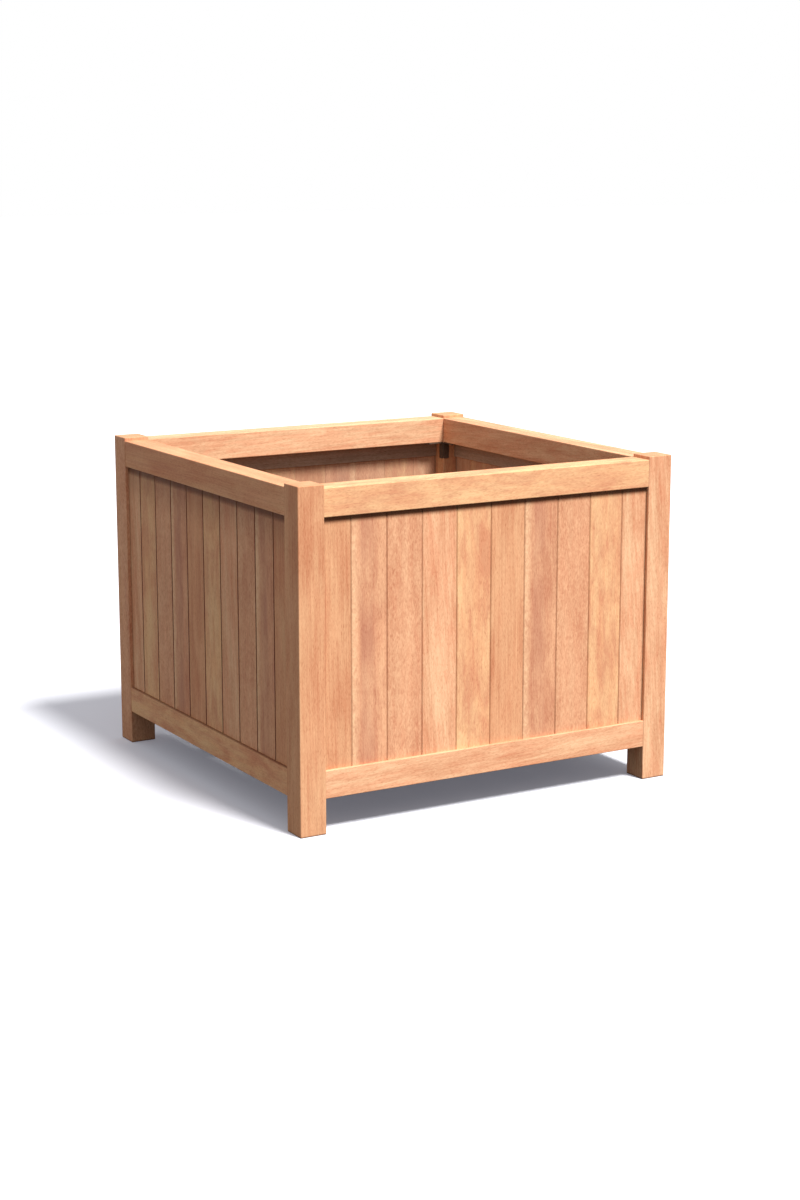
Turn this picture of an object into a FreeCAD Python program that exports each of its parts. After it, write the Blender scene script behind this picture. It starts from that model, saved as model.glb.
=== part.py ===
import FreeCAD, Part
import os

import Sketcher

# Square hardwood planter. Four posts carry a top and a bottom ring of tenoned rails, tongue-and-groove
# boards stand in grooves of the rails and posts, and a slatted floor lies on the bottom rails and bearers.
# Millimetres, +Z up, front towards -Y, origin on the ground under the middle of the planter.

doc = FreeCAD.newDocument("planter")
sheet = doc.addObject("Spreadsheet::Sheet", "size")

sizes = {
    # Whole planter
    "planter_side": 1000,
    "planter_height": 790,
    "arris_radius": 2,
    "cut_overrun": 1,
    # Posts
    "post_section": 65,
    "post_rise": 8,
    "foot_clearance": 82,
    # Rails and their tenons
    "rail_height": 65,
    "rail_setback": 1,
    "tenon_thickness": 16,
    "tenon_height": 45,
    "tenon_cover": 4,
    "tenon_play": 0.2,
    "mitre_gap": 1,
    # Wall boards and the grooves that house them
    "board_setback": 8.5,
    "board_thickness": 16,
    "board_cover": 91.2,
    "board_gap": 0.4,
    "vee_chamfer": 2,
    "tongue_length": 6,
    "tongue_thickness": 5,
    "tongue_play": 0.4,
    "housing_depth": 12,
    "housing_play": 0.2,
    "post_groove_depth": 10,
    "shrink_room": 1,
    # Laths that lock the boards in the top rails
    "lath_thickness": 5,
    "lath_height": 42,
    # Floor
    "floor_board_thickness": 20,
    "floor_board_width": 115,
    "drain_gap": 5,
    "floor_room": 2,
    "bearer_width": 60,
    "bearer_room": 0.5,
    "cleat_height": 20,
    "cleat_depth": 30,
    "cleat_length": 100,
    # Corner braces
    "brace_leg": 45,
    "brace_width": 16,
    "brace_thickness": 3,
    "brace_inner_bend": 1,
    "brace_end_radius": 3,
    # Screws
    "floor_screw_length": 50,
    "floor_screw_shank": 5,
    "floor_screw_head": 9.5,
    "floor_screw_inset": 22,
    "cleat_screw_inset": 20,
    "brace_screw_length": 10,
    "brace_screw_shank": 3,
    "brace_screw_head": 6,
    "screw_play": 0.3,
}
for row, (name, number) in enumerate(sizes.items(), start=1):
    sheet.set(f"A{row}", name)
    sheet.set(f"B{row}", str(number))
    sheet.setAlias(f"B{row}", name)
doc.recompute()

walls = ("front", "right", "back", "left")
posts = ("front_left", "front_right", "back_right", "back_left")
turn_axis = FreeCAD.Vector(0, 0, 1)
x_way = FreeCAD.Vector(1, 0, 0)
quarter_turn = 360 / len(walls)
countersink_angle = 90
tolerance = 1e-4

# Least show of an edge board, the bearers' place out from the middle, the holes' places along a brace's leg
edge_board_share = 0.5
bearer_share = 0.17
brace_hole_shares = (0.4, 0.78)

# Places that several pieces share, as expressions of the sizes
half_side = "size.planter_side / 2"
opening = "(size.planter_side - 2 * size.post_section)"
rail_inner = "size.post_section"
top_rail_base = "(size.planter_height - size.post_rise - size.rail_height)"
bottom_rail_top = "(size.foot_clearance + size.rail_height)"
board_back = "(size.board_setback + size.board_thickness)"
lath_back = f"({board_back} + size.lath_thickness)"
groove_front = "(size.board_setback - size.housing_play)"
groove_back = f"({board_back} + size.housing_play)"
tenon_front = f"({board_back} + size.tenon_cover)"
tenon_back = f"({tenon_front} + size.tenon_thickness)"
floor_edge = f"({board_back} + size.floor_room)"
floor_span = f"(size.planter_side - 2 * {floor_edge})"
floor_pitch = "(size.floor_board_width + size.drain_gap)"
floor_top = f"({bottom_rail_top} + size.floor_board_thickness)"
floor_notch = "(size.post_section + size.floor_room)"
floor_screw_line = f"(({board_back} + {rail_inner}) / 2)"
bearer_place = f"(size.planter_side * {bearer_share})"
brace_edge = rail_inner
brace_middle = f"({brace_edge} - size.brace_width / 2)"
brace_pilot = "(size.brace_screw_shank + size.screw_play)"
brace_pilot_depth = "(size.brace_screw_length - size.brace_thickness + size.screw_play)"


def value(expression):
    """The number that an expression of the sizes gives."""
    return float(sheet.evalExpression(expression))


def from_middle(expression):
    """A distance from an outer face, measured from the planter's middle instead."""
    return f"({expression} - {half_side})"


# As many full boards as leave each edge board its least share of a full one
board_count = int(value(f"{opening} / size.board_cover - 2 * {edge_board_share}"))
edge_board_show = f"(({opening} - {board_count} * size.board_cover) / 2)"

# The same on the floor, where an edge board keeps that share beside the notch for a post
floor_room_across = f"({floor_span} - size.drain_gap)"
least_edge_slat = f"({floor_notch} - {floor_edge} + {edge_board_share} * size.floor_board_width)"
slat_count = int(value(f"({floor_room_across} - 2 * {least_edge_slat}) / {floor_pitch}"))
edge_slat_width = f"(({floor_room_across} - {slat_count} * {floor_pitch}) / 2)"
first_slat = f"({floor_edge} + {edge_slat_width} + size.drain_gap)"

# Screw places along a front or back bottom rail, from its left end: edge board, boards between, edge board
edge_screw = f"(({floor_notch} + {floor_edge} + {edge_slat_width}) / 2)"
slat_screws = [
    f"({first_slat} + {number} * {floor_pitch} + {inset})"
    for number in range(slat_count)
    for inset in ("size.floor_screw_inset", "size.floor_board_width - size.floor_screw_inset")
]
floor_screws = [edge_screw, *slat_screws, f"(size.planter_side - {edge_screw})"]

# Screw places along a side bottom rail, two in each cleat
cleat_screws = [
    f"({half_side} + {side} * {bearer_place} + {end} * (size.cleat_length / 2 - size.cleat_screw_inset))"
    for side in (-1, 1)
    for end in (-1, 1)
]

node_objects = []


def new_body(label):
    """A body whose label names its file."""
    body = doc.addObject("PartDesign::Body", label)
    body.Label = label
    return body


def origin_part(body, role):
    """One of the body's own planes or axes."""
    return next(feature for feature in body.Origin.OriginFeatures if feature.Role == role)


def new_sketch(body, name, plane, offset="0"):
    """An empty sketch on one of the body's planes, moved along the plane's normal."""
    sketch = body.newObject("Sketcher::SketchObject", name)
    sketch.AttachmentSupport = (origin_part(body, plane), [""])
    sketch.MapMode = "FlatFace"
    sketch.setExpression("AttachmentOffset.Base.z", offset)
    return sketch


def hold(sketch, geometry, end, place):
    """Bind a point of the sketch to two expressions, measured from the sketch's origin."""
    for way, expression in zip(("DistanceX", "DistanceY"), place):
        rule = Sketcher.Constraint(way, -1, 1, geometry, end, value(expression))
        index = sketch.addConstraint(rule)
        sketch.setExpression(f"Constraints[{index}]", expression)


def draw_loop(sketch, corners):
    """A closed outline of straight lines with each corner bound to the sizes."""
    points = [FreeCAD.Vector(value(across), value(up), 0) for across, up in corners]
    first = sketch.GeometryCount
    for number, point in enumerate(points):
        sketch.addGeometry(Part.LineSegment(point, points[(number + 1) % len(points)]), False)
    for number, corner in enumerate(corners):
        before = first + (number - 1) % len(corners)
        sketch.addConstraint(Sketcher.Constraint("Coincident", before, 2, first + number, 1))
        hold(sketch, first + number, 1, corner)


def draw_circles(sketch, centres, diameter):
    """Circles of one diameter with each centre bound to the sizes."""
    radius = value(diameter) / 2
    for centre in centres:
        middle = FreeCAD.Vector(value(centre[0]), value(centre[1]), 0)
        circle = sketch.addGeometry(Part.Circle(middle, FreeCAD.Vector(0, 0, 1), radius), False)
        hold(sketch, circle, 3, centre)
        index = sketch.addConstraint(Sketcher.Constraint("Diameter", circle, 2 * radius))
        sketch.setExpression(f"Constraints[{index}]", diameter)


def box_corners(low, high):
    """The corners of a rectangle between two places."""
    return [low, (high[0], low[1]), high, (low[0], high[1])]


def add_pad(body, name, sketch, length):
    """Raise a sketch along its plane's normal."""
    pad = body.newObject("PartDesign::Pad", name)
    pad.Profile = sketch
    pad.setExpression("Length", length)
    doc.recompute()
    return pad


def add_pocket(body, name, sketch, depth, along_normal=False):
    """Cut a sketch into the body, against its plane's normal unless told otherwise."""
    volume = body.Shape.Volume
    pocket = body.newObject("PartDesign::Pocket", name)
    pocket.Profile = sketch
    pocket.Reversed = along_normal
    pocket.setExpression("Length", depth)
    doc.recompute()
    if body.Shape.Volume >= volume:
        raise RuntimeError(f"{body.Label}: {name} cuts nothing")
    return pocket


def add_screw_holes(body, name, sketch, screw, along_normal=False):
    """Countersunk clearance holes for one kind of screw, at the circles of a sketch."""
    doc.recompute()
    volume = body.Shape.Volume
    holes = body.newObject("PartDesign::Hole", name)
    holes.Profile = sketch
    holes.Reversed = along_normal
    doc.recompute()
    holes.ThreadType = "None"
    holes.HoleCutType = "Countersink"
    holes.DepthType = "ThroughAll"
    holes.HoleCutCountersinkAngle = countersink_angle
    holes.setExpression("Diameter", f"size.{screw}_shank + size.screw_play")
    holes.setExpression("HoleCutDiameter", f"size.{screw}_head + size.screw_play")
    doc.recompute()
    if body.Shape.Volume >= volume:
        raise RuntimeError(f"{body.Label}: {name} cuts nothing")
    return holes


def add_edge_cut(body, kind, name, base, edges, size_name, expression):
    """A fillet or a chamfer on named edges of a feature."""
    eased = body.newObject(kind, name)
    eased.Base = (base, edges)
    eased.setExpression(size_name, expression)
    doc.recompute()
    return eased


def edges_where(feature, wanted):
    """Names of a feature's edges that pass a test."""
    return [f"Edge{number}" for number, edge in enumerate(feature.Shape.Edges, 1) if wanted(edge)]


def runs_along(edge, axis):
    """Whether a straight edge runs along an axis of its body."""
    ends = edge.Vertexes[-1].Point - edge.Vertexes[0].Point
    return len(edge.Vertexes) == 2 and abs(abs(ends.normalize().dot(axis)) - 1) < tolerance


def is_near(number, others):
    """Whether a number is one of several places."""
    return any(abs(number - other) < tolerance for other in others)


def long_arrises(feature):
    """The edges along X at the outer corners of a feature's section."""
    box = feature.Shape.BoundBox
    return edges_where(
        feature,
        lambda edge: runs_along(edge, x_way)
        and is_near(edge.BoundBox.Center.y, (box.YMin, box.YMax))
        and is_near(edge.BoundBox.Center.z, (box.ZMin, box.ZMax)),
    )


def repeat_whole(body, kind, name):
    """A pattern or mirror of everything made in the body so far."""
    repeat = body.newObject(kind, name)
    repeat.TransformMode = "Whole shape"
    body.Tip = repeat
    return repeat


def mirror_whole(body, name, plane):
    """The body's pieces again, beyond one of its planes."""
    mirror = repeat_whole(body, "PartDesign::Mirrored", name)
    mirror.MirrorPlane = (origin_part(body, plane), [""])
    doc.recompute()


def turn_round_walls(body, name):
    """The body's pieces once in each wall."""
    polar = repeat_whole(body, "PartDesign::PolarPattern", name)
    polar.Axis = (origin_part(body, "Z_Axis"), [""])
    polar.Occurrences = len(walls)
    doc.recompute()


def stand(piece, wall, along="0", inward="0", up="0"):
    """Set a piece in a wall, from the wall's left outer corner as seen from outside."""
    across = from_middle(along)
    depth = from_middle(inward)
    places = {
        "front": (across, depth),
        "right": (f"-{depth}", across),
        "back": (f"-{across}", f"-{depth}"),
        "left": (depth, f"-{across}"),
    }
    turn = FreeCAD.Rotation(turn_axis, quarter_turn * walls.index(wall))
    piece.Placement = FreeCAD.Placement(FreeCAD.Vector(), turn)
    for axis, expression in zip("xyz", (*places[wall], up)):
        piece.setExpression(f".Placement.Base.{axis}", expression)


def make_post(name, wall):
    """A post with mitred mortises, grooves for two edge boards and pilot holes for two braces."""
    body = new_body(f"post_{name}")
    section = new_sketch(body, "post_section", "XY_Plane")
    draw_loop(section, box_corners(("0", "0"), ("size.post_section", "size.post_section")))
    shaft = add_pad(body, "post_shaft", section, "size.planter_height")

    every_edge = edges_where(shaft, lambda edge: True)
    add_edge_cut(
        body, "PartDesign::Fillet", "eased_arrises", shaft, every_edge, "Radius", "size.arris_radius"
    )

    # Two mortises meet inside the post, so each pair is one L in plan
    outer = f"({tenon_front} - size.tenon_play)"
    inner = f"({tenon_back} + size.tenon_play)"
    past = "(size.post_section + size.cut_overrun)"
    mortise_plan = [
        (outer, outer),
        (past, outer),
        (past, inner),
        (inner, inner),
        (inner, past),
        (outer, past),
    ]
    for level, rail_base in (("bottom", "size.foot_clearance"), ("top", top_rail_base)):
        mortise_top = f"{rail_base} + (size.rail_height + size.tenon_height) / 2 + size.tenon_play"
        mortise = new_sketch(body, f"{level}_mortise", "XY_Plane", mortise_top)
        draw_loop(mortise, mortise_plan)
        add_pocket(body, f"{level}_mortise_cut", mortise, "size.tenon_height + 2 * size.tenon_play")

    groove_floor = "(size.post_section - size.post_groove_depth)"
    grooves = new_sketch(body, "board_grooves", "XY_Plane", f"{top_rail_base} + size.housing_depth")
    draw_loop(grooves, box_corners((groove_floor, groove_front), (past, groove_back)))
    draw_loop(grooves, box_corners((groove_front, groove_floor), (groove_back, past)))
    groove_run = f"{top_rail_base} - {bottom_rail_top} + 2 * size.housing_depth"
    add_pocket(body, "board_groove_cut", grooves, groove_run)

    holes = [(brace_middle, f"{top_rail_base} - {share} * size.brace_leg") for share in brace_hole_shares]
    for plane, offset, along_normal in (
        ("YZ_Plane", "size.post_section", False),
        ("XZ_Plane", "-size.post_section", True),
    ):
        pilots = new_sketch(body, "brace_pilots", plane, offset)
        draw_circles(pilots, holes, brace_pilot)
        add_pocket(body, "brace_pilot_cut", pilots, brace_pilot_depth, along_normal)

    stand(body, wall)
    node_objects.append(body)


def make_rail(body, groove_mouth, groove_floor, groove_inner):
    """A rail with eased edges, a groove along its top or underside and a mitred tenon at each end."""
    low, high = "0", "size.rail_height"
    outer, inner = "size.rail_setback", rail_inner
    section = new_sketch(body, "rail_section", "YZ_Plane", "size.post_section")
    groove = [(groove_front, groove_mouth), (groove_front, groove_floor)]
    groove += [(groove_inner, groove_floor), (groove_inner, groove_mouth)]
    if groove_mouth == low:
        corners = [(outer, low), *groove, (inner, low), (inner, high), (outer, high)]
    else:
        corners = [(outer, low), (inner, low), (inner, high), *reversed(groove), (outer, high)]
    draw_loop(section, corners)
    beam = add_pad(body, "rail_beam", section, opening)
    add_edge_cut(
        body, "PartDesign::Fillet", "eased_arrises", beam, long_arrises(beam), "Radius", "size.arris_radius"
    )

    tenons = new_sketch(body, "tenon_plan", "XY_Plane", "(size.rail_height - size.tenon_height) / 2")
    root = "(size.post_section + size.cut_overrun)"
    left_tenon = [
        (f"({tenon_front} + size.mitre_gap / 2)", tenon_front),
        (root, tenon_front),
        (root, tenon_back),
        (f"({tenon_back} + size.mitre_gap / 2)", tenon_back),
    ]
    draw_loop(tenons, left_tenon)
    draw_loop(tenons, [(f"(size.planter_side - {along})", inward) for along, inward in left_tenon])
    add_pad(body, "tenons", tenons, "size.tenon_height")


def make_top_rail(wall):
    """A top rail, grooved below for the boards and their lath, with pilot holes for its braces."""
    body = new_body(f"top_rail_{wall}")
    make_rail(body, "0", "size.housing_depth", f"({lath_back} + size.housing_play)")
    reaches = [f"(size.post_section + {share} * size.brace_leg)" for share in brace_hole_shares]
    reaches += [f"(size.planter_side - {reach})" for reach in reaches]
    pilots = new_sketch(body, "brace_pilots", "XY_Plane")
    draw_circles(pilots, [(reach, brace_middle) for reach in reaches], brace_pilot)
    add_pocket(body, "brace_pilot_cut", pilots, brace_pilot_depth, along_normal=True)
    stand(body, wall, up=top_rail_base)
    node_objects.append(body)


def make_bottom_rail(wall):
    """A bottom rail, grooved above for the boards, with pilot holes for the floor or the cleats."""
    body = new_body(f"bottom_rail_{wall}")
    make_rail(body, "size.rail_height", "(size.rail_height - size.housing_depth)", groove_back)
    if wall in ("front", "back"):
        pilots = new_sketch(body, "floor_pilots", "XY_Plane", "size.rail_height")
        centres = [(place, floor_screw_line) for place in floor_screws]
        carried = "size.floor_board_thickness"
        along_normal = False
    else:
        pilots = new_sketch(body, "cleat_pilots", "XZ_Plane", f"-{rail_inner}")
        centres = [(place, "size.cleat_height / 2") for place in cleat_screws]
        carried = "size.cleat_depth"
        along_normal = True
    draw_circles(pilots, centres, "size.floor_screw_shank + size.screw_play")
    pilot_depth = f"size.floor_screw_length - {carried} + size.screw_play"
    add_pocket(body, "pilot_cut", pilots, pilot_depth, along_normal)
    stand(body, wall, up="size.foot_clearance")
    node_objects.append(body)


def board_section(width, grooved, tongued):
    """Corners of a board's section, outer face first. An edge with no joint runs plain into a post."""
    back = "size.board_thickness"
    tongue_front = "((size.board_thickness - size.tongue_thickness) / 2)"
    tongue_back = "((size.board_thickness + size.tongue_thickness) / 2)"
    tip = f"({width} + size.tongue_length)"
    if tongued:
        right = [(f"({width} - size.vee_chamfer)", "0"), (width, "size.vee_chamfer"), (width, tongue_front)]
        right += [(tip, tongue_front), (tip, tongue_back), (width, tongue_back), (width, back)]
    else:
        right = [(width, "0"), (width, back)]
    if grooved:
        slot_front = f"({tongue_front} - size.tongue_play / 2)"
        slot_back = f"({tongue_back} + size.tongue_play / 2)"
        left = [("0", back), ("0", slot_back), ("size.tongue_length", slot_back)]
        left += [("size.tongue_length", slot_front), ("0", slot_front), ("0", "size.vee_chamfer")]
        left += [("size.vee_chamfer", "0")]
    else:
        left = [("0", back), ("0", "0")]
    return right + left


def make_board(wall, number, along, width, grooved, tongued):
    """An upright wall board, standing in the bottom rail's groove."""
    body = new_body(f"{wall}_board_{number:02d}")
    section = new_sketch(body, "board_section", "XY_Plane")
    draw_loop(section, board_section(width, grooved, tongued))
    board_run = f"{top_rail_base} - {bottom_rail_top} + 2 * size.housing_depth - size.shrink_room"
    add_pad(body, "board_length", section, board_run)
    stand(body, wall, along, "size.board_setback", f"{bottom_rail_top} - size.housing_depth")
    node_objects.append(body)


def make_wall_boards(wall):
    """A wall's boards from left to right: a ripped edge board, the full boards, a ripped edge board."""
    in_post = "(size.post_groove_depth - size.shrink_room)"
    edge_width = f"({edge_board_show} + {in_post} - size.board_gap / 2)"
    make_board(wall, 1, f"(size.post_section - {in_post})", edge_width, False, True)
    first = f"(size.post_section + {edge_board_show} + size.board_gap / 2)"
    for number in range(board_count):
        along = f"({first} + {number} * size.board_cover)"
        make_board(wall, number + 2, along, "(size.board_cover - size.board_gap)", True, True)
    last = f"({first} + {board_count} * size.board_cover)"
    make_board(wall, board_count + 2, last, edge_width, True, False)


def make_laths():
    """Laths that fill the top grooves behind the boards and lock them, one under each top rail."""
    body = new_body("retaining_laths")
    section = new_sketch(
        body, "lath_section", "YZ_Plane", from_middle("(size.post_section + size.shrink_room)")
    )
    low = (from_middle(board_back), f"({top_rail_base} - size.lath_height)")
    high = (from_middle(lath_back), f"({top_rail_base} + size.housing_depth - size.shrink_room)")
    draw_loop(section, box_corners(low, high))
    strip = add_pad(body, "lath_strip", section, f"{opening} - 2 * size.shrink_room")
    box = strip.Shape.BoundBox
    inner_edge = edges_where(
        strip,
        lambda edge: runs_along(edge, x_way)
        and is_near(edge.BoundBox.Center.y, (box.YMax,))
        and is_near(edge.BoundBox.Center.z, (box.ZMin,)),
    )
    add_edge_cut(
        body, "PartDesign::Fillet", "eased_arris", strip, inner_edge, "Radius", "size.arris_radius"
    )
    turn_round_walls(body, "four_walls")
    node_objects.append(body)


def make_braces():
    """Bent steel braces between each post and the top rails that meet it."""
    body = new_body("corner_braces")
    corner = from_middle("size.post_section")
    leg_end = f"({corner} + size.brace_leg)"
    leg_face = f"({corner} + size.brace_thickness)"
    underside = f"({top_rail_base} - size.brace_thickness)"
    foot = f"({top_rail_base} - size.brace_leg)"
    strip = new_sketch(body, "brace_profile", "XZ_Plane", f"{half_side} - {brace_edge}")
    draw_loop(
        strip,
        [
            (corner, foot),
            (leg_face, foot),
            (leg_face, underside),
            (leg_end, underside),
            (leg_end, top_rail_base),
            (corner, top_rail_base),
        ],
    )
    bent = add_pad(body, "brace_strip", strip, "size.brace_width")

    box = bent.Shape.BoundBox
    outer_bend = edges_where(
        bent,
        lambda edge: is_near(edge.BoundBox.XMax, (box.XMin,)) and is_near(edge.BoundBox.ZMin, (box.ZMax,)),
    )
    outer_radius = "size.brace_inner_bend + size.brace_thickness"
    bowed = add_edge_cut(
        body, "PartDesign::Fillet", "outer_bend", bent, outer_bend, "Radius", outer_radius
    )
    inner_place = (value(leg_face), value(underside))
    inner_bend = edges_where(
        bowed,
        lambda edge: is_near(edge.BoundBox.Center.x, inner_place[:1])
        and is_near(edge.BoundBox.Center.z, inner_place[1:])
        and edge.BoundBox.YLength > tolerance,
    )
    folded = add_edge_cut(
        body, "PartDesign::Fillet", "inner_bend", bowed, inner_bend, "Radius", "size.brace_inner_bend"
    )
    end_corners = edges_where(
        folded,
        lambda edge: edge.BoundBox.YLength < tolerance
        and (is_near(edge.BoundBox.ZMax, (box.ZMin,)) or is_near(edge.BoundBox.XMin, (box.XMax,))),
    )
    add_edge_cut(
        body, "PartDesign::Fillet", "round_ends", folded, end_corners, "Radius", "size.brace_end_radius"
    )

    middle = from_middle(brace_middle)
    upright = new_sketch(body, "post_holes", "YZ_Plane", leg_face)
    centres = [(middle, f"({top_rail_base} - {share} * size.brace_leg)") for share in brace_hole_shares]
    draw_circles(upright, centres, "size.brace_screw_shank")
    add_screw_holes(body, "post_screw_holes", upright, "brace_screw")
    level = new_sketch(body, "rail_holes", "XY_Plane", underside)
    centres = [(f"({corner} + {share} * size.brace_leg)", middle) for share in brace_hole_shares]
    draw_circles(level, centres, "size.brace_screw_shank")
    add_screw_holes(body, "rail_screw_holes", level, "brace_screw", along_normal=True)
    mirror_whole(body, "other_end", "YZ_Plane")
    turn_round_walls(body, "four_walls")
    node_objects.append(body)


def make_slats():
    """Full floor boards, with two screw holes at each end."""
    body = new_body("floor_boards")
    plan = new_sketch(body, "slat_plan", "XY_Plane")
    draw_loop(plan, box_corners(("0", "0"), ("size.floor_board_width", floor_span)))
    add_pad(body, "slat", plan, "size.floor_board_thickness")
    holes = new_sketch(body, "slat_holes", "XY_Plane", "size.floor_board_thickness")
    end_room = f"({floor_screw_line} - {floor_edge})"
    centres = [
        (across, along)
        for across in ("size.floor_screw_inset", "(size.floor_board_width - size.floor_screw_inset)")
        for along in (end_room, f"({floor_span} - {end_room})")
    ]
    draw_circles(holes, centres, "size.floor_screw_shank")
    add_screw_holes(body, "slat_screw_holes", holes, "floor_screw")
    row = repeat_whole(body, "PartDesign::LinearPattern", "slat_row")
    row.Direction = (origin_part(body, "X_Axis"), [""])
    row.setExpression("Length", f"{slat_count - 1} * {floor_pitch}")
    row.Occurrences = slat_count
    doc.recompute()
    stand(body, "front", first_slat, floor_edge, bottom_rail_top)
    node_objects.append(body)


def make_edge_slats():
    """The two outer floor boards, notched round the posts."""
    body = new_body("floor_edge_boards")
    near, far = from_middle(floor_edge), f"(-{from_middle(floor_edge)})"
    notch_near, notch_far = from_middle(floor_notch), f"(-{from_middle(floor_notch)})"
    inner = f"({near} + {edge_slat_width})"
    plan = new_sketch(body, "edge_slat_plan", "XY_Plane", bottom_rail_top)
    draw_loop(
        plan,
        [
            (notch_near, near),
            (inner, near),
            (inner, far),
            (notch_near, far),
            (notch_near, notch_far),
            (near, notch_far),
            (near, notch_near),
            (notch_near, notch_near),
        ],
    )
    add_pad(body, "edge_slat", plan, "size.floor_board_thickness")
    holes = new_sketch(body, "edge_slat_holes", "XY_Plane", floor_top)
    line = from_middle(floor_screw_line)
    centres = [(from_middle(edge_screw), end) for end in (line, f"(-{line})")]
    draw_circles(holes, centres, "size.floor_screw_shank")
    add_screw_holes(body, "edge_slat_screw_holes", holes, "floor_screw")
    mirror_whole(body, "other_side", "YZ_Plane")
    node_objects.append(body)


def make_bearers():
    """Bearers under the floor boards, between the side rails."""
    body = new_body("floor_bearers")
    reach = f"({half_side} - {rail_inner} - size.bearer_room)"
    low = (f"(-{reach})", f"({bearer_place} - size.bearer_width / 2)")
    high = (reach, f"({bearer_place} + size.bearer_width / 2)")
    plan = new_sketch(body, "bearer_plan", "XY_Plane", "size.foot_clearance + size.cleat_height")
    draw_loop(plan, box_corners(low, high))
    beam = add_pad(body, "bearer", plan, "size.rail_height - size.cleat_height")
    add_edge_cut(
        body, "PartDesign::Fillet", "eased_arrises", beam, long_arrises(beam), "Radius", "size.arris_radius"
    )
    mirror_whole(body, "second_bearer", "XZ_Plane")
    node_objects.append(body)


def make_cleats():
    """Cleats on the side rails that carry the bearers' ends."""
    body = new_body("bearer_cleats")
    face = from_middle(rail_inner)
    front = f"({face} + size.cleat_depth)"
    low = (face, f"({bearer_place} - size.cleat_length / 2)")
    high = (front, f"({bearer_place} + size.cleat_length / 2)")
    plan = new_sketch(body, "cleat_plan", "XY_Plane", "size.foot_clearance")
    draw_loop(plan, box_corners(low, high))
    add_pad(body, "cleat", plan, "size.cleat_height")
    holes = new_sketch(body, "cleat_holes", "YZ_Plane", front)
    height = "(size.foot_clearance + size.cleat_height / 2)"
    centres = [(from_middle(place), height) for place in cleat_screws[2:]]
    draw_circles(holes, centres, "size.floor_screw_shank")
    add_screw_holes(body, "cleat_screw_holes", holes, "floor_screw")
    mirror_whole(body, "second_bearer", "XZ_Plane")
    mirror_whole(body, "other_rail", "YZ_Plane")
    node_objects.append(body)


def make_screw(name):
    """A countersunk wood screw, its head at the origin and its point up the Z axis."""
    body = new_body(name)
    profile = new_sketch(body, "screw_profile", "XZ_Plane")
    head, shank = f"(size.{name}_head / 2)", f"(size.{name}_shank / 2)"
    length = f"size.{name}_length"
    corners = [("0", "0"), (head, "0"), (shank, f"({head} - {shank})")]
    corners += [(shank, f"({length} - size.{name}_shank)"), ("0", length)]
    draw_loop(profile, corners)
    turned = body.newObject("PartDesign::Revolution", "turned_screw")
    turned.Profile = profile
    turned.ReferenceAxis = (profile, ["V_Axis"])
    doc.recompute()
    return body


def seat_in_wall(wall, along, inward, up, point):
    """Where a screw's head sits in a wall, and the way that it points."""
    turn = FreeCAD.Rotation(turn_axis, quarter_turn * walls.index(wall))
    place = FreeCAD.Vector(value(from_middle(along)), value(from_middle(inward)), value(up))
    way = turn.multVec(FreeCAD.Vector(*point))
    return FreeCAD.Placement(turn.multVec(place), FreeCAD.Rotation(turn_axis, way))


def make_screw_group(label, screw, seats):
    """All screws of one kind, each a solid of its own."""
    group = doc.addObject("Part::Feature", label)
    group.Label = label
    group.Shape = Part.makeCompound([screw.Shape.copy().transformed(seat.toMatrix()) for seat in seats])
    node_objects.append(group)


def make_floor_screws():
    """The long screws: two at each end of a floor board, one at an edge board's, and two in each cleat."""
    seats = []
    for wall in ("front", "back"):
        for place in floor_screws:
            seats.append(seat_in_wall(wall, place, floor_screw_line, floor_top, (0, 0, -1)))
    cleat_face = f"({rail_inner} + size.cleat_depth)"
    height = "(size.foot_clearance + size.cleat_height / 2)"
    for wall in ("left", "right"):
        for place in cleat_screws:
            seats.append(seat_in_wall(wall, place, cleat_face, height, (0, -1, 0)))
    make_screw_group("floor_screws", make_screw("floor_screw"), seats)


def make_brace_screws():
    """The short screws: two through each leg of every brace."""
    seats = []
    face = "(size.post_section + size.brace_thickness)"
    underside = f"({top_rail_base} - size.brace_thickness)"
    for wall in walls:
        for share in brace_hole_shares:
            down = f"({top_rail_base} - {share} * size.brace_leg)"
            reach = f"(size.post_section + {share} * size.brace_leg)"
            far_face, far_reach = f"(size.planter_side - {face})", f"(size.planter_side - {reach})"
            seats.append(seat_in_wall(wall, face, brace_middle, down, (-1, 0, 0)))
            seats.append(seat_in_wall(wall, far_face, brace_middle, down, (1, 0, 0)))
            seats.append(seat_in_wall(wall, reach, brace_middle, underside, (0, 0, 1)))
            seats.append(seat_in_wall(wall, far_reach, brace_middle, underside, (0, 0, 1)))
    make_screw_group("brace_screws", make_screw("brace_screw"), seats)


for post, wall in zip(posts, walls):
    make_post(post, wall)
for wall in walls:
    make_top_rail(wall)
    make_bottom_rail(wall)
for wall in walls:
    make_wall_boards(wall)
make_laths()
make_braces()
make_slats()
make_edge_slats()
make_bearers()
make_cleats()
make_floor_screws()
make_brace_screws()
doc.recompute()

for item in doc.Objects:
    if "Invalid" in item.State or "Error" in item.State:
        raise RuntimeError(f"{item.Label} failed to build: {item.State}")
for node in node_objects:
    if node.Shape.isNull() or not node.Shape.isValid():
        raise RuntimeError(f"{node.Label} has no valid shape")

os.makedirs("parts", exist_ok=True)
for node in node_objects:
    node.Shape.exportStep(f"parts/{node.Label}.step")
    print(node.Label, len(node.Shape.Solids), round(node.Shape.Volume))
print(len(node_objects), "nodes")
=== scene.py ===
import math
import random

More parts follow.
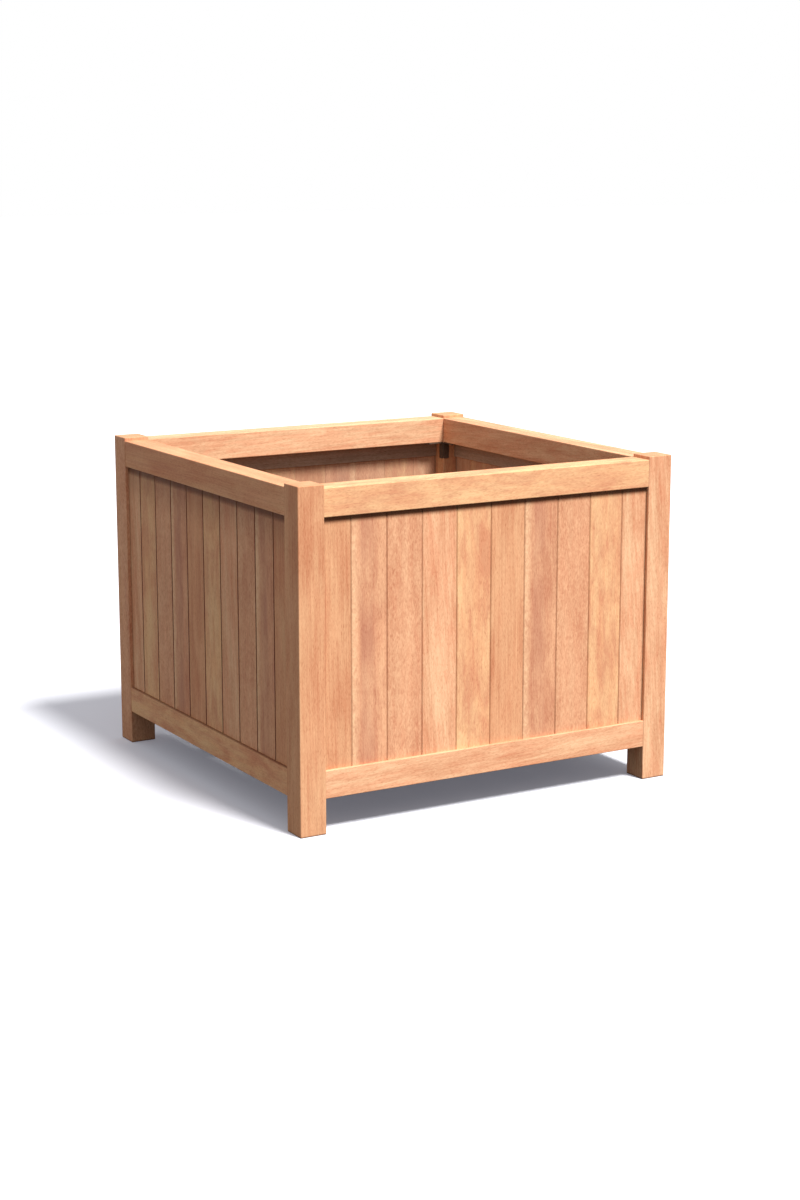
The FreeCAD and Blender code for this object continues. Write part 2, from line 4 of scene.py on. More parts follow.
import bpy
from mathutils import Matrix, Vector


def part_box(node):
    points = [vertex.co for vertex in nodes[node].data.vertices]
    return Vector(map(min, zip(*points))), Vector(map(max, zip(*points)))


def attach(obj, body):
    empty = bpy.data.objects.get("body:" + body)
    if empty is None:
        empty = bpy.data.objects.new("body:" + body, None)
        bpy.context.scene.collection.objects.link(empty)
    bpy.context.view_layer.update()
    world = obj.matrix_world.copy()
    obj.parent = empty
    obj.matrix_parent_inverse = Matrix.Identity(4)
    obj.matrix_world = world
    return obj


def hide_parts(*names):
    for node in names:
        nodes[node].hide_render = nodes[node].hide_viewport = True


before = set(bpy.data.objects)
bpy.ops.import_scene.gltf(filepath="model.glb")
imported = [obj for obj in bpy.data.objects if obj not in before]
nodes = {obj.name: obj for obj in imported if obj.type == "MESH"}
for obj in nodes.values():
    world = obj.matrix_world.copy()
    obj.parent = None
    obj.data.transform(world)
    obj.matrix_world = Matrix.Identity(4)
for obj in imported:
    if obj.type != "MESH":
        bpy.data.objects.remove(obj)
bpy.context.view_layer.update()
walls = ("front", "right", "back", "left")
mm = 0.001  # the scene is in metres
print("frame loaded,", len(nodes), "pieces")


def linear(hexColour):  # sRGB hex to the linear colour that the shaders take
    channels = [int(hexColour[start:start + 2], 16) / 255 for start in (0, 2, 4)]
    return [c / 12.92 if c <= 0.04045 else ((c + 0.055) / 1.055) ** 2.4 for c in channels] + [1.0]


def addNode(tree, kind, inputs, **settings):  # an input is a value or another node's output
    node = tree.nodes.new("ShaderNode" + kind)
    for name, setting in settings.items():
        setattr(node, name, setting)
    for socket, source in inputs.items():
        if isinstance(source, bpy.types.NodeSocket):
            tree.links.new(source, node.inputs[socket])
        else:
            node.inputs[socket].default_value = source
    return node


def newMaterial(name):
    material = bpy.data.materials.new(name)
    material.use_nodes = True
    material.node_tree.nodes.clear()
    return material


def dress(piece, material):
    for slot in piece.material_slots:
        slot.material = material


# Camera at the photograph's place, in metres from the planter's middle on the ground
cameraView = {
    "eye": (-2.6766, -4.6793, 1.5121),
    "looksAlong": (0.4925, 0.8466, -0.2019),
    "lens": 66.41,
    "sensor": 36,
}


def addCamera(view):
    data = bpy.data.cameras.new("photoCamera")
    data.lens = view["lens"]
    data.sensor_width = view["sensor"]
    camera = bpy.data.objects.new("photoCamera", data)
    camera.location = view["eye"]
    camera.rotation_euler = Vector(view["looksAlong"]).to_track_quat("-Z", "Y").to_euler()
    bpy.context.scene.collection.objects.link(camera)
    bpy.context.scene.camera = camera


addCamera(cameraView)
print("camera set")


# One soft key from the front, high and a little to the right, and an even fill from all round
studio = {
    "keyFrom": (0.17, -0.65, 1.0),
    "keyStrength": 6.1,
    "keySpread": 13,  # degrees, softens the shadow's edge
    "fillColour": "FAFCFF",
    "fillStrength": 0.61,
    "floorSide": 80,  # metres
    "floorPale": "D4D4D8",  # what the camera sees
    "floorLift": "5E5E66",  # keeps the shadow under the planter a soft grey
    "floorBounce": "464646",  # what the floor throws back up at the timber
}


def seenByEye(tree):  # 1 for rays that show a picture, 0 for rays that only carry light
    path = addNode(tree, "LightPath", {})
    either = addNode(
        tree, "Math",
        {0: path.outputs["Is Camera Ray"], 1: path.outputs["Is Glossy Ray"]}, operation="MAXIMUM")
    both = addNode(
        tree, "Math",
        {0: either.outputs[0], 1: path.outputs["Is Transmission Ray"]}, operation="MAXIMUM")
    return both.outputs[0]


def addStudio(studio):
    key = bpy.data.lights.new("keyLight", "SUN")
    key.energy = studio["keyStrength"]
    key.angle = math.radians(studio["keySpread"])
    lamp = bpy.data.objects.new("keyLight", key)
    lamp.rotation_euler = (-Vector(studio["keyFrom"])).to_track_quat("-Z", "Y").to_euler()
    bpy.context.scene.collection.objects.link(lamp)

    world = bpy.data.worlds.new("paleStudio")
    bpy.context.scene.world = world
    world.use_nodes = True
    tree = world.node_tree
    tree.nodes.clear()
    fill = addNode(
        tree, "Background", {"Color": linear(studio["fillColour"]), "Strength": studio["fillStrength"]})
    white = addNode(tree, "Background", {"Color": linear("FFFFFF"), "Strength": 1.0})
    shown = addNode(tree, "MixShader", {0: seenByEye(tree), 1: fill.outputs[0], 2: white.outputs[0]})
    addNode(tree, "OutputWorld", {"Surface": shown.outputs[0]})

    bpy.ops.object.select_all(action="DESELECT")
    bpy.ops.mesh.primitive_plane_add(size=studio["floorSide"])
    floor = bpy.context.object
    floor.name = "studioFloor"
    paper = newMaterial("matteStudioPaper")  # even pale paper with no gloss
    tree = paper.node_tree
    seen = seenByEye(tree)
    tone = addNode(
        tree, "Mix",
        {0: seen, 6: linear(studio["floorBounce"]), 7: linear(studio["floorPale"])}, data_type="RGBA")
    matte = addNode(tree, "BsdfDiffuse", {"Color": tone.outputs[2]})
    lift = addNode(tree, "Emission", {"Color": linear(studio["floorLift"]), "Strength": seen})
    sheet = addNode(tree, "AddShader", {0: matte.outputs[0], 1: lift.outputs[0]})
    addNode(tree, "OutputMaterial", {"Surface": sheet.outputs[0]})
    floor.data.materials.append(paper)


addStudio(studio)
print("studio lit")


# Meranti, planed and oiled: a warm open-grained hardwood. The eye sees soft patches of pink and gold, long
# bands, straight streaks that wander a little, a fine curly fleck and a low satin gloss.
timberSorts = {
    "evenBrown": {"dark": "BE815E", "pale": "DAA87F", "slant": 0.3, "blush": 0.46, "vein": 0.24,
                  "patch": 0.56, "cloud": 0.08, "band": 0.16, "streak": 0.44, "fleck": 0.24, "curl": 0.0},
    "mottledPink": {"dark": "BE8465", "pale": "DDAB84", "slant": 0.8, "blush": 0.50, "vein": 0.26,
                    "patch": 0.40, "cloud": 0.40, "band": 0.34, "streak": 0.28, "fleck": 0.36, "curl": 0.20},
    "palePink": {"dark": "C18564", "pale": "E0AE87", "slant": 0.5, "blush": 0.30, "vein": 0.30,
                 "patch": 0.34, "cloud": 0.16, "band": 0.20, "streak": 0.18, "fleck": 0.44, "curl": 0.34},
    "streakedPink": {"dark": "C98E6A", "pale": "E5B991", "slant": 3.5, "blush": 0.55, "vein": 0.62,
                     "patch": 0.30, "cloud": 0.10, "band": 0.46, "streak": 0.46, "fleck": 0.32, "curl": 0.0},
    "paleRose": {"dark": "CB9A76", "pale": "E5BD95", "slant": 2.0, "blush": 0.34, "vein": 0.90,
                 "patch": 0.20, "cloud": 0.20, "band": 0.46, "streak": 0.62, "fleck": 0.36, "curl": 0.0},
    "golden": {"dark": "CC926E", "pale": "E4B788", "slant": 1.2, "blush": 0.34, "vein": 0.46,
               "patch": 0.50, "cloud": 0.62, "band": 0.24, "streak": 0.26, "fleck": 0.36, "curl": 0.12},
    "sawnGrey": {"dark": "967E6B", "pale": "B29A86", "slant": 0.6, "blush": 0.20, "vein": 0.10,
                 "patch": 0.40, "cloud": 0.10, "band": 0.30, "streak": 0.46, "fleck": 0.46, "curl": 0.0},
    "bareGrey": {"dark": "6A5646", "pale": "8C745F", "slant": 0.6, "blush": 0.20, "vein": 0.10,
                 "patch": 0.50, "cloud": 0.14, "band": 0.36, "streak": 0.40, "fleck": 0.40, "curl": 0.0},
}
# Millimetres across and along the grain, and the part of the noise that is drawn out to full contrast. A real
# fleck is finer than this one, which is as coarse as the picture needs.
grainPatterns = {
    "patch": {"across": 62, "along": 240, "detail": 2.0, "twist": 0.4, "low": 0.36, "high": 0.64},
    "cloud": {"across": 30, "along": 95, "detail": 3.0, "twist": 1.0, "low": 0.36, "high": 0.64},
    "band": {"across": 21, "along": 640, "detail": 2.0, "twist": 0.2, "low": 0.36, "high": 0.64},
    "streak": {"across": 4.2, "along": 190, "detail": 3.0, "twist": 0.0, "low": 0.34, "high": 0.66},
    "fleck": {"across": 2.4, "along": 10, "detail": 2.0, "twist": 0.5, "low": 0.34, "high": 0.66},
    "curl": {"across": 9, "along": 14, "detail": 2.0, "twist": 1.2, "low": 0.34, "high": 0.66},
    "blush": {"across": 80, "along": 330, "detail": 1.0, "twist": 0.8, "low": 0.36, "high": 0.64},
    "vein": {"across": 15, "along": 110, "detail": 2.0, "twist": 0.8, "low": 0.44, "high": 0.60},
}
pinkMarks = ("blush", "vein")  # these tint the wood, the others shade it
swing = 0.5  # a pattern runs this far either way of the middle
planedFinish = {  # lengths in millimetres; a share says how far a tint is mixed in
    "wanderAcross": 90,
    "wanderAlong": 600,
    "wanderReach": 12,
    "endTint": "B98763",
    "endTurns": (0.75, 0.95),  # how squarely a face cuts the grain where the end's tint starts and is full
    "endShare": 0.35,
    "ringShare": 0.3,
    "ringWidth": 55,  # the year's rings blur into broad bands
    "ringTwist": 1.5,
    "ringDetail": 2.0,
    "smoothest": 0.50,
    "roughest": 0.66,
    "ior": 1.5,
    "specular": 0.05,
    "poreDepth": 0.10,
    "poreRelief": 0.35,
    "blushTint": "FFF0EE",  # multiplies the tone: pinker, and a little darker
    "sapTint": "EFC69B",
    "sapShare": 0.42,
    "sapCurl": 0.36,
    "sapStart": 6,
    "sapEnd": 24,
    "heartTint": "A06A58",
    "heartShare": 0.20,
    "heartBlush": 0.4,
    "heartReach": (16, 30, 44, 72),
    # the colour mixed in as painted shade under the rails, beside the posts, in the seams, on the ledges and
    # at the posts' feet
    "paintedShadeTint": "4A200A",
    "sawnTint": "7E7268",
    "sawnShare": 0.30,
    "poreWide": 0.8,  # drawn about three times as wide as real pores, so that they show from near by
    "poreLong": 9,
    "poreTint": "BA8A6C",
    "poreShare": 0.34,
    "poreBand": (0.58, 0.70),  # the part of the noise where a pore starts and is full
}
sawnSorts = ("bareGrey", "sawnGrey")
waveStep = math.pi / 10  # metres from ring to ring in a wave pattern of scale 1
# How far from an inner corner or edge the timber is darkened with painted shade, in millimetres, and how
# much: under the top rail, widely below it, on the bottom rail's ledge, at the posts' feet, beside the posts
# and in the V seams. The painted shade is stronger on the walls that the key light doesn't reach.
nooks = {
    "railNear": 8,
    "railFar": {"front": 20, "right": 26, "back": 30, "left": 30},
    "railShade": 0.84,
    "wideShadeFar": 110,
    "wideShadeShare": {"front": 0.0, "right": 0.18, "back": 0.30, "left": 0.36},
    "ledgeHigh": 3,
    "ledgeShade": {"front": 0.06, "right": 0.3, "back": 0.6, "left": 0.65},
    "footShadeHigh": 5,
    "footShade": 0.75,
    "postFar": 8,
    "postStain": 0.35,
    "seamShade": {"front": 0.12, "right": 0.4, "back": 0.6, "left": 0.85},
    "seamTurns": (0.97, 0.73),  # how squarely a face looks out of the wall: the board's face, the V's side
}
grainTurns = {  # turns that lay the grain's own axis along Z
    "x": (0, -math.pi / 2, 0),
    "y": (math.pi / 2, 0, 0),
    "z": (0, 0, 0),
}
grainWays = {"x": (1, 0, 0), "y": (0, 1, 0), "z": (0, 0, 1)}
# The axis along which a wall runs, and its way from left to right
wallRuns = {"front": (0, 1), "right": (1, 1), "back": (0, -1), "left": (1, -1)}
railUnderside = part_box("top_rail_front")[0][2]
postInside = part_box("post_front_right")[0][0]


def perMetre(across, along):
    return (1 / (across * mm), 1 / (across * mm), 1 / (along * mm))


def ramp(tree, value, start, end, most=1.0):  # 0 at start, most at end, eased between them
    return addNode(
        tree, "MapRange", {"Value": value, "From Min": start, "From Max": end, "To Max": most},
        interpolation_type="SMOOTHSTEP").outputs[0]


def layGrain(tree, place, grain, shift):
    ways = ("x", "y") if grain == "round" else (grain,)
    laid = [
        addNode(tree, "Mapping", {"Vector": place, "Rotation": grainTurns[way], "Location": shift}).outputs[0]
        for way in ways]
    if grain != "round":
        return laid[0]
    # Four lengths in a square: the pair at the left and right run along Y
    bare = addNode(tree, "VectorMath", {0: place}, operation="ABSOLUTE")
    apart = addNode(tree, "SeparateXYZ", {0: bare.outputs[0]})
    side = addNode(tree, "Math", {0: apart.outputs["X"], 1: apart.outputs["Y"]}, operation="GREATER_THAN")
    return addNode(tree, "Mix", {0: side.outputs[0], 4: laid[0], 5: laid[1]}, data_type="VECTOR").outputs[1]


def tintAndShadeBoard(tree, place, shape, marks, tone, node, sort):
    # Sapwood down one edge of a flat-sawn board with darker heartwood beside it, then a sawn inner face, then
    # painted shade in the V seams, under the top rail and beside the post, and a wide painted shade below the
    # rail on the outer face
    wall, number = node.split("_board_")
    axis, way = wallRuns[wall]
    apart = addNode(tree, "SeparateXYZ", {0: place})
    run, height = apart.outputs[axis], apart.outputs["Z"]
    if sort == "mottledPink":
        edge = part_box(node)[0 if way > 0 else 1][axis]
        near, far = (edge + way * planedFinish[key] * mm for key in ("sapStart", "sapEnd"))
        curly = addNode(
            tree, "Math", {0: marks["curl"], 1: planedFinish["sapCurl"], 2: planedFinish["sapShare"]},
            operation="MULTIPLY_ADD")
        sap = addNode(
            tree, "Math", {0: curly.outputs[0], 1: ramp(tree, run, far, near)}, operation="MULTIPLY")
        tone = addNode(
            tree, "Mix", {0: sap.outputs[0], 6: tone, 7: linear(planedFinish["sapTint"])},
            data_type="RGBA").outputs[2]
        reach = [edge + way * each * mm for each in planedFinish["heartReach"]]
        heart = addNode(
            tree, "Math",
            {0: ramp(tree, run, reach[0], reach[1]), 1: ramp(tree, run, reach[3], reach[2])},
            operation="MULTIPLY")
        broken = addNode(
            tree, "Math", {0: marks["blush"], 1: planedFinish["heartBlush"], 2: planedFinish["heartShare"]},
            operation="MULTIPLY_ADD")
        heart = addNode(
            tree, "Math", {0: heart.outputs[0], 1: broken.outputs[0]}, operation="MULTIPLY", use_clamp=True)
        tone = addNode(
            tree, "Mix", {0: heart.outputs[0], 6: tone, 7: linear(planedFinish["heartTint"])},
            data_type="RGBA").outputs[2]
    # The inner face is only sawn, and greyer
    low, high = (abs(corner[1 - axis]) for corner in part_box(node))
    middle, quarter = (low + high) / 2, abs(high - low) / 4
    depth = addNode(tree, "Math", {0: apart.outputs[1 - axis]}, operation="ABSOLUTE")
    inside = ramp(tree, depth.outputs[0], middle, middle - quarter, planedFinish["sawnShare"])
    tone = addNode(
        tree, "Mix", {0: inside, 6: tone, 7: linear(planedFinish["sawnTint"])}, data_type="RGBA").outputs[2]
    # Painted shade in the V seams, stronger on the walls that the key light doesn't reach
    across = grainWays["y" if axis == 0 else "x"]
    facing = addNode(
        tree, "VectorMath", {0: shape.outputs["True Normal"], 1: across}, operation="DOT_PRODUCT")
    flat = addNode(tree, "Math", {0: facing.outputs["Value"]}, operation="ABSOLUTE")
    shadeMix = ramp(tree, flat.outputs[0], *nooks["seamTurns"], nooks["seamShade"][wall])
    # Painted shade under the top rail, and a wide softer painted shade below it on the outer face of the
    # walls away from the key light
    near, far, wideShadeFar = (
        railUnderside - reach * mm for reach in (nooks["railNear"], nooks["railFar"][wall], nooks["wideShadeFar"]))
    outside = ramp(tree, depth.outputs[0], middle, middle + quarter)
    wideShading = ramp(tree, height, wideShadeFar, railUnderside, nooks["wideShadeShare"][wall])
    paintedShades = [
        ramp(tree, height, far, near, nooks["railShade"]),
        addNode(tree, "Math", {0: wideShading, 1: outside}, operation="MULTIPLY").outputs[0],
    ]
    # Painted shade on the end boards beside the posts
    if number in ("01", "10"):
        end = (-1 if number == "01" else 1) * way
        start = end * (postInside - nooks["postFar"] * mm)
        paintedShades.append(ramp(tree, run, start, end * postInside, nooks["postStain"]))
    for paintedBand in paintedShades:
        shadeMix = addNode(tree, "Math", {0: shadeMix, 1: paintedBand}, operation="MAXIMUM").outputs[0]
    return addNode(
        tree, "Mix", {0: shadeMix, 6: tone, 7: linear(planedFinish["paintedShadeTint"])}, data_type="RGBA").outputs[2]


def paintShadeBand(tree, place, tone, start, end, share):  # painted shade that grows from one height to another
    height = addNode(tree, "SeparateXYZ", {0: place}).outputs["Z"]
    shadeMix = ramp(tree, height, start, end, share)
    return addNode(
        tree, "Mix", {0: shadeMix, 6: tone, 7: linear(planedFinish["paintedShadeTint"])}, data_type="RGBA").outputs[2]


def planedTimber(node, sort, grain, shift):
    look = timberSorts[sort]
    finish = planedFinish
    material = newMaterial(("sawnMeranti_" if sort in sawnSorts else "planedMeranti_") + node)
    tree = material.node_tree
    place = addNode(tree, "TexCoord", {}).outputs["Object"]
    laid = layGrain(tree, place, grain, shift)

    # The fibres lean a little and wander sideways over a long stretch
    lean = math.radians(look["slant"])
    leant = addNode(tree, "Mapping", {"Vector": laid, "Rotation": (lean, lean, 0)})
    slow = addNode(
        tree, "Mapping",
        {"Vector": leant.outputs[0], "Scale": perMetre(finish["wanderAcross"], finish["wanderAlong"])})
    sway = addNode(tree, "TexNoise", {"Vector": slow.outputs[0], "Scale": 1.0, "Detail": 1.0})
    reach = finish["wanderReach"] * mm
    grown = addNode(
        tree, "VectorMath",
        {0: sway.outputs["Color"], 1: (reach, reach, 0), 2: leant.outputs[0]}, operation="MULTIPLY_ADD")

    # Each pattern pushes the shade up or down from the middle by its own amount
    marks = {}
    shade = swing
    for mark, size in grainPatterns.items():
        scaled = addNode(
            tree, "Mapping", {"Vector": grown.outputs[0], "Scale": perMetre(size["across"], size["along"])})
        noise = addNode(
            tree, "TexNoise",
            {"Vector": scaled.outputs[0], "Scale": 1.0,
             "Detail": size["detail"], "Distortion": size["twist"]})
        marks[mark] = addNode(
            tree, "MapRange",
            {"Value": noise.outputs["Fac"], "From Min": size["low"], "From Max": size["high"],
             "To Min": -swing, "To Max": swing}).outputs[0]
        if mark not in pinkMarks:
            shade = addNode(
                tree, "Math", {0: marks[mark], 1: look[mark], 2: shade}, operation="MULTIPLY_ADD").outputs[0]
    tone = addNode(
        tree, "Mix", {0: shade, 6: linear(look["dark"]), 7: linear(look["pale"])},
        data_type="RGBA").outputs[2]
    for mark in pinkMarks:
        share = addNode(
            tree, "MapRange",
            {"Value": marks[mark], "From Min": -swing, "From Max": swing, "To Max": look[mark]})
        tone = addNode(
            tree, "Mix", {0: share.outputs[0], 6: tone, 7: linear(finish["blushTint"])},
            data_type="RGBA", blend_type="MULTIPLY").outputs[2]
    # Pores are short dark dashes along the grain
    fine = addNode(
        tree, "Mapping",
        {"Vector": grown.outputs[0], "Scale": perMetre(finish["poreWide"], finish["poreLong"])})
    dashes = addNode(tree, "TexNoise", {"Vector": fine.outputs[0], "Scale": 1.0, "Detail": 0.0})
    pores = ramp(tree, dashes.outputs["Fac"], *finish["poreBand"], finish["poreShare"])
    tone = addNode(
        tree, "Mix", {0: pores, 6: tone, 7: linear(finish["poreTint"])},
        data_type="RGBA", blend_type="MULTIPLY").outputs[2]
    shape = addNode(tree, "NewGeometry", {})

    # Sawn ends drink more oil and read darker, with the year's rings
    if grain != "round":
        facing = addNode(
            tree, "VectorMath", {0: shape.outputs["Normal"], 1: grainWays[grain]}, operation="DOT_PRODUCT")
        sawn = addNode(tree, "Math", {0: facing.outputs["Value"]}, operation="ABSOLUTE")
        rings = addNode(
            tree, "TexWave",
            {"Vector": grown.outputs[0], "Scale": waveStep / (finish["ringWidth"] * mm),
             "Distortion": finish["ringTwist"], "Detail": finish["ringDetail"]},
            wave_type="RINGS", rings_direction="Z")
        most = addNode(
            tree, "Math", {0: rings.outputs["Fac"], 1: finish["ringShare"], 2: finish["endShare"]},
            operation="MULTIPLY_ADD")
        start, full = finish["endTurns"]
        ends = addNode(
            tree, "MapRange",
            {"Value": sawn.outputs[0], "From Min": start, "From Max": full, "To Max": most.outputs[0]})
        tone = addNode(
            tree, "Mix", {0: ends.outputs[0], 6: tone, 7: linear(finish["endTint"])},
            data_type="RGBA").outputs[2]
    if "_board_" in node:
        tone = tintAndShadeBoard(tree, place, shape, marks, tone, node, sort)
    # Painted shade: a thin dark band at the foot of each post
    if node.startswith("post_"):
        tone = paintShadeBand(tree, place, tone, nooks["footShadeHigh"] * mm, 0, nooks["footShade"])
    # Painted shade on the top of the bottom rail's ledge, stronger on the walls away from the key light
    if node.startswith("bottom_rail_"):
        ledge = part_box(node)[1][2]
        share = nooks["ledgeShade"][node.removeprefix("bottom_rail_")]
        tone = paintShadeBand(tree, place, tone, ledge - nooks["ledgeHigh"] * mm, ledge, share)

    gloss = addNode(
        tree, "MapRange",
        {"Value": marks["streak"], "From Min": -swing, "From Max": swing,
         "To Min": finish["smoothest"], "To Max": finish["roughest"]})
    grooves = addNode(
        tree, "Bump",
        {"Height": marks["fleck"], "Strength": finish["poreRelief"], "Distance": finish["poreDepth"] * mm})
    skin = addNode(
        tree, "BsdfPrincipled",
        {"Base Color": tone, "Roughness": gloss.outputs[0], "Normal": grooves.outputs[0],
         "IOR": finish["ior"], "Specular IOR Level": finish["specular"]})
    addNode(tree, "OutputMaterial", {"Surface": skin.outputs[0]})
    return material


# Which sort of plank goes where, and which way its grain runs
boardOrder = (
    "evenBrown", "mottledPink", "palePink", "streakedPink", "golden",
    "evenBrown", "mottledPink", "palePink", "golden", "streakedPink",
)
turnedWalls = ("left", "back")  # their boards stand in the opposite order
postSorts = {
    "front_left": "evenBrown", "front_right": "streakedPink", "back_right": "golden", "back_left": "palePink",
}
railSorts = {
    "top_rail": {"front": "golden", "right": "streakedPink", "back": "paleRose", "left": "evenBrown"},
    "bottom_rail": {"front": "streakedPink", "right": "golden", "back": "golden", "left": "golden"},
}
floorSorts = {
    "floor_boards": ("bareGrey", "y"),
    "floor_edge_boards": ("bareGrey", "y"),
    "floor_bearers": ("bareGrey", "x"),
    "bearer_cleats": ("bareGrey", "y"),
    "retaining_laths": ("sawnGrey", "round"),
}
figure = {
    "seed": 5,
    "spread": 4,  # metres either way, so that no two planks show the same figure
    "slides": {"post_front_left": 1.4},  # metres along the grain, to stand the paler stretch at the foot
}


def plankPlan():
    plan = {}
    for wall in walls:
        order = reversed(boardOrder) if wall in turnedWalls else boardOrder
        for number, sort in enumerate(order, 1):
            plan[f"{wall}_board_{number:02d}"] = (sort, "z")
        for rail, sorts in railSorts.items():
            plan[f"{rail}_{wall}"] = (sorts[wall], "x" if wall in ("front", "back") else "y")
    for corner, sort in postSorts.items():
        plan[f"post_{corner}"] = (sort, "z")
    plan.update(floorSorts)
    return plan


def dressTimber():
    draws = random.Random(figure["seed"])
    for node, (sort, grain) in plankPlan().items():
        shift = [draws.uniform(-figure["spread"], figure["spread"]) for _ in range(3)]
        shift[2] += figure["slides"].get(node, 0.0)
        dress(nodes[node], planedTimber(node, sort, grain, shift))


dressTimber()
print("timber dressed")


# Wood screws with countersunk heads and a six-lobed drive. One of each kind is modelled, in metres, with the
# middle of its head's face at the origin and its point down.
screwKinds = {
    "floorScrews": {
        "node": "floor_screws", "slot": "screw_steel", "length": 0.050, "shank": 0.005, "head": 0.0095,
        "headDepth": 0.00225, "point": 0.005, "drive": 0.0046, "driveDepth": 0.0018, "lip": 0.0001,
    },
    "braceScrews": {
        "node": "brace_screws", "slot": "brace_steel", "length": 0.010, "shank": 0.003, "head": 0.006,
        "headDepth": 0.0015, "point": 0.003, "drive": 0.0028, "driveDepth": 0.0011, "lip": 0.0001,
    },
}
driveStar = {
    "sides": 24,  # points round the screw
    "perLobe": 4,
    "shares": {(1, 3): 0.90, (2,): 0.72},  # how far a lobe's flanks and the dips between lobes are drawn in
    "floorShare": 0.9,
    "pointShare": 0.12,  # the blunt tip, as a share of the shank
    "sharpAngle": 35,  # degrees, edges past this stay sharp
}
weldDigits = 5  # points that agree to a hundredth of a millimetre are one


def screwPlaces(piece):  # the middle of each head's face and the way its screw points, read from the node
    chief = {}

    def top(spot):
        while chief[spot] != spot:
            chief[spot] = chief[chief[spot]]
            spot = chief[spot]
        return spot

    spots = [tuple(round(value, weldDigits) for value in vertex.co) for vertex in piece.data.vertices]
    for spot in spots:
        chief[spot] = spot
    for polygon in piece.data.polygons:
        first = top(spots[polygon.vertices[0]])
        for index in polygon.vertices[1:]:
            chief[top(spots[index])] = first
    groups = {}
    for spot in chief:
        groups.setdefault(top(spot), []).append(Vector(spot))
    places = []
    for group in groups.values():
        low = Vector([min(spot[axis] for spot in group) for axis in range(3)])
        high = Vector([max(spot[axis] for spot in group) for axis in range(3)])
        axis = max(range(3), key=lambda each: high[each] - low[each])
        middle = (low + high) / 2
        along = Vector([1.0 if each == axis else 0.0 for each in range(3)])
        widest = max(group, key=lambda spot: (spot - middle).cross(along).length)
        way = along if widest[axis] < middle[axis] else -along
        places.append((middle - way * (high[axis] - low[axis]) / 2, way))
    return places


def pick(piece):
    bpy.ops.object.select_all(action="DESELECT")
    piece.select_set(True)
    bpy.context.view_layer.objects.active = piece


def selectPoints(piece, wanted):  # in edit mode, the points whose place passes a test
    bpy.ops.mesh.select_mode(type="VERT")
    bpy.ops.mesh.select_all(action="DESELECT")
    bpy.ops.object.mode_set(mode="OBJECT")
    for point in piece.data.vertices:
        point.select = wanted(point.co)
    bpy.ops.object.mode_set(mode="EDIT")


def turnScrew(name, size):
    # The head, the shank and the point are one turned piece: rings pulled down from a disc
    bpy.ops.object.select_all(action="DESELECT")
    bpy.ops.mesh.primitive_circle_add(
        vertices=driveStar["sides"], radius=size["head"] / 2, fill_type="NGON")
    screw = bpy.context.object
    screw.name = name
    pick(screw)
    bpy.ops.object.mode_set(mode="EDIT")
    bpy.ops.mesh.select_all(action="SELECT")
    rings = (
        (size["lip"], size["head"]),
        (size["headDepth"], size["shank"]),
        (size["length"] - size["point"], size["shank"]),
        (size["length"], size["shank"] * driveStar["pointShare"]),
    )
    depth, width = 0.0, size["head"]
    for newDepth, newWidth in rings:
        bpy.ops.mesh.extrude_region_move(TRANSFORM_OT_translate={"value": (0, 0, depth - newDepth)})
        if newWidth != width:
            bpy.ops.transform.resize(value=(newWidth / width, newWidth / width, 1))
        depth, width = newDepth, newWidth

    # The drive: the head's face is inset, the inner ring drawn in between six lobes, and the star pushed down
    skin = size["lip"] / 2
    selectPoints(screw, lambda place: place.z > -skin)
    bpy.ops.mesh.select_mode(type="FACE")
    bpy.ops.mesh.inset(thickness=(size["head"] - size["drive"]) / 2)
    rim = (size["head"] + size["drive"]) / 4
    eachTurn = math.tau / driveStar["sides"]
    for step, share in driveStar["shares"].items():
        selectPoints(screw, lambda place: place.z > -skin and place.xy.length < rim
                     and abs(round(math.atan2(place.y, place.x) / eachTurn)) % driveStar["perLobe"] in step)
        bpy.ops.transform.resize(value=(share, share, 1), center_override=(0, 0, 0))
    selectPoints(screw, lambda place: place.z > -skin and place.xy.length < rim)
    bpy.ops.mesh.select_mode(type="FACE")
    bpy.ops.mesh.extrude_region_move(TRANSFORM_OT_translate={"value": (0, 0, -size["driveDepth"])})
    bpy.ops.transform.resize(value=(driveStar["floorShare"], driveStar["floorShare"], 1))
    bpy.ops.mesh.select_all(action="SELECT")
    bpy.ops.mesh.normals_make_consistent(inside=False)
    bpy.ops.object.mode_set(mode="OBJECT")
    bpy.ops.object.shade_smooth_by_angle(angle=math.radians(driveStar["sharpAngle"]))
    return screw


def driveScrews(name, size):
    master = turnScrew(name, size)
    copies = []
    for place, way in screwPlaces(nodes[size["node"]]):
        pick(master)
        bpy.ops.object.duplicate()
        copy = bpy.context.object
        copy.rotation_euler = way.to_track_quat("-Z", "Y").to_euler()
        copy.location = place
        bpy.ops.object.transform_apply(location=True, rotation=True, scale=True)
        copies.append(copy)
    bpy.data.objects.remove(master)
    pick(copies[0])
    for copy in copies:
        copy.select_set(True)
    bpy.ops.object.join()
    screws = bpy.context.object
    screws.name = name
    bpy.context.scene.cursor.location = (0, 0, 0)
    bpy.ops.object.origin_set(type="ORIGIN_CURSOR")
    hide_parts(size["node"])
    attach(screws, "root")
    print(name, len(copies), "screws")
    return screws


screwSets = {name: driveScrews(name, size) for name, size in screwKinds.items()}


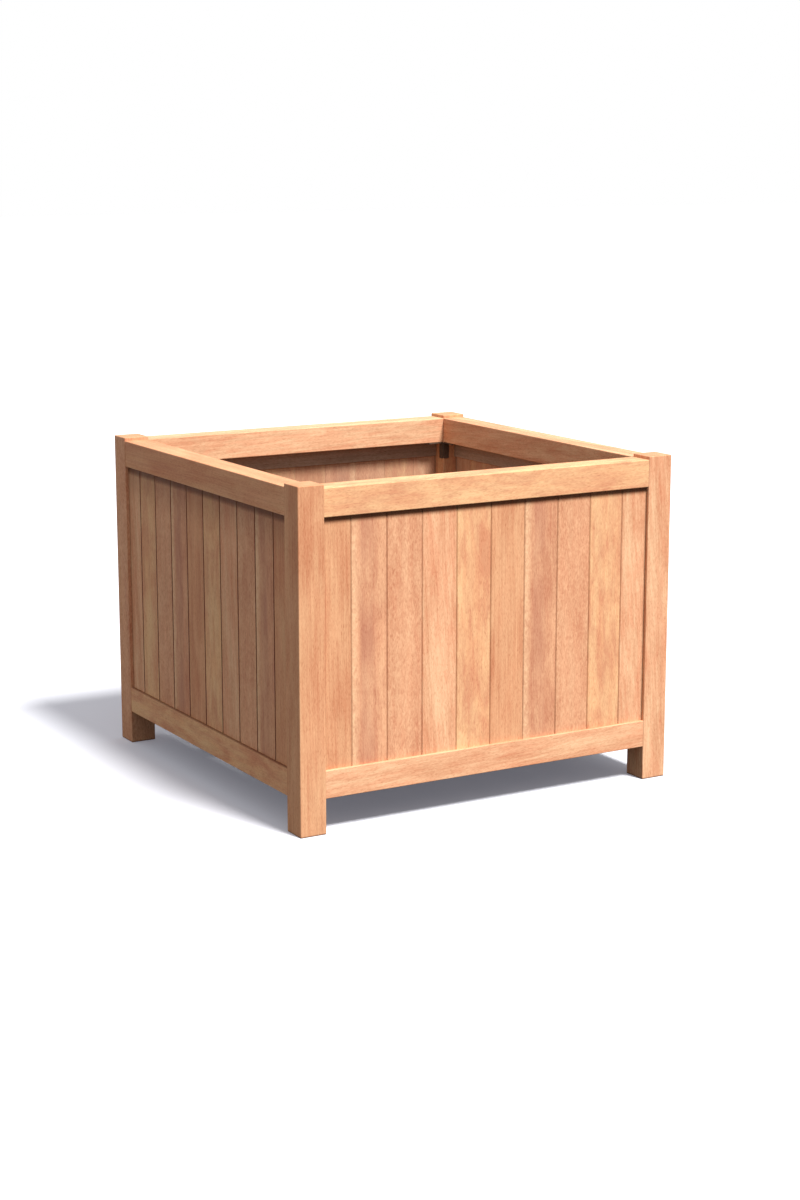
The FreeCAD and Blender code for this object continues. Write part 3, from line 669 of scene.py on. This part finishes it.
# Steel parts. The braces and their screws are powder coated: a dark brown skin with a faint orange peel and
# dust on it. The floor screws are bright stainless steel, turned, with a fine grain and clouds of handling
# grease. Grain, cloud and dent are in millimetres.
steelSorts = {
    "powderCoatedSteel": {
        "dark": "4E3C30", "pale": "665040", "metallic": 0.0, "smoothest": 0.48, "roughest": 0.70,
        "grain": 1.6, "cloud": 22, "dent": 0.05,
    },
    "turnedStainlessSteel": {
        "dark": "9A958C", "pale": "C4C0B7", "metallic": 1.0, "smoothest": 0.24, "roughest": 0.46,
        "grain": 0.5, "cloud": 6, "dent": 0.01,
    },
}
steelPattern = {"low": 0.35, "high": 0.65, "cloudDetail": 3.0, "grainDetail": 1.0, "relief": 0.4}


def steel(name):
    look = steelSorts[name]
    low, high = steelPattern["low"], steelPattern["high"]
    material = newMaterial(name)
    tree = material.node_tree
    place = addNode(tree, "TexCoord", {}).outputs["Object"]
    cloud = addNode(
        tree, "TexNoise",
        {"Vector": place, "Scale": 1 / (look["cloud"] * mm), "Detail": steelPattern["cloudDetail"]})
    peel = addNode(
        tree, "TexNoise",
        {"Vector": place, "Scale": 1 / (look["grain"] * mm), "Detail": steelPattern["grainDetail"]})
    paler = ramp(tree, cloud.outputs["Fac"], low, high)
    tone = addNode(
        tree, "Mix", {0: paler, 6: linear(look["dark"]), 7: linear(look["pale"])}, data_type="RGBA")
    gloss = addNode(
        tree, "MapRange",
        {"Value": cloud.outputs["Fac"], "From Min": low, "From Max": high,
         "To Min": look["smoothest"], "To Max": look["roughest"]})
    dents = addNode(
        tree, "Bump",
        {"Height": peel.outputs["Fac"], "Strength": steelPattern["relief"], "Distance": look["dent"] * mm})
    skin = addNode(
        tree, "BsdfPrincipled",
        {"Base Color": tone.outputs[2], "Metallic": look["metallic"], "Roughness": gloss.outputs[0],
         "Normal": dents.outputs[0]})
    addNode(tree, "OutputMaterial", {"Surface": skin.outputs[0]})
    return material


coated = steel("powderCoatedSteel")
dress(nodes["corner_braces"], coated)
screwSets["braceScrews"].data.materials.append(coated)
screwSets["floorScrews"].data.materials.append(steel("turnedStainlessSteel"))
print("steel dressed")


bpy.context.scene.view_settings.view_transform = "Standard"
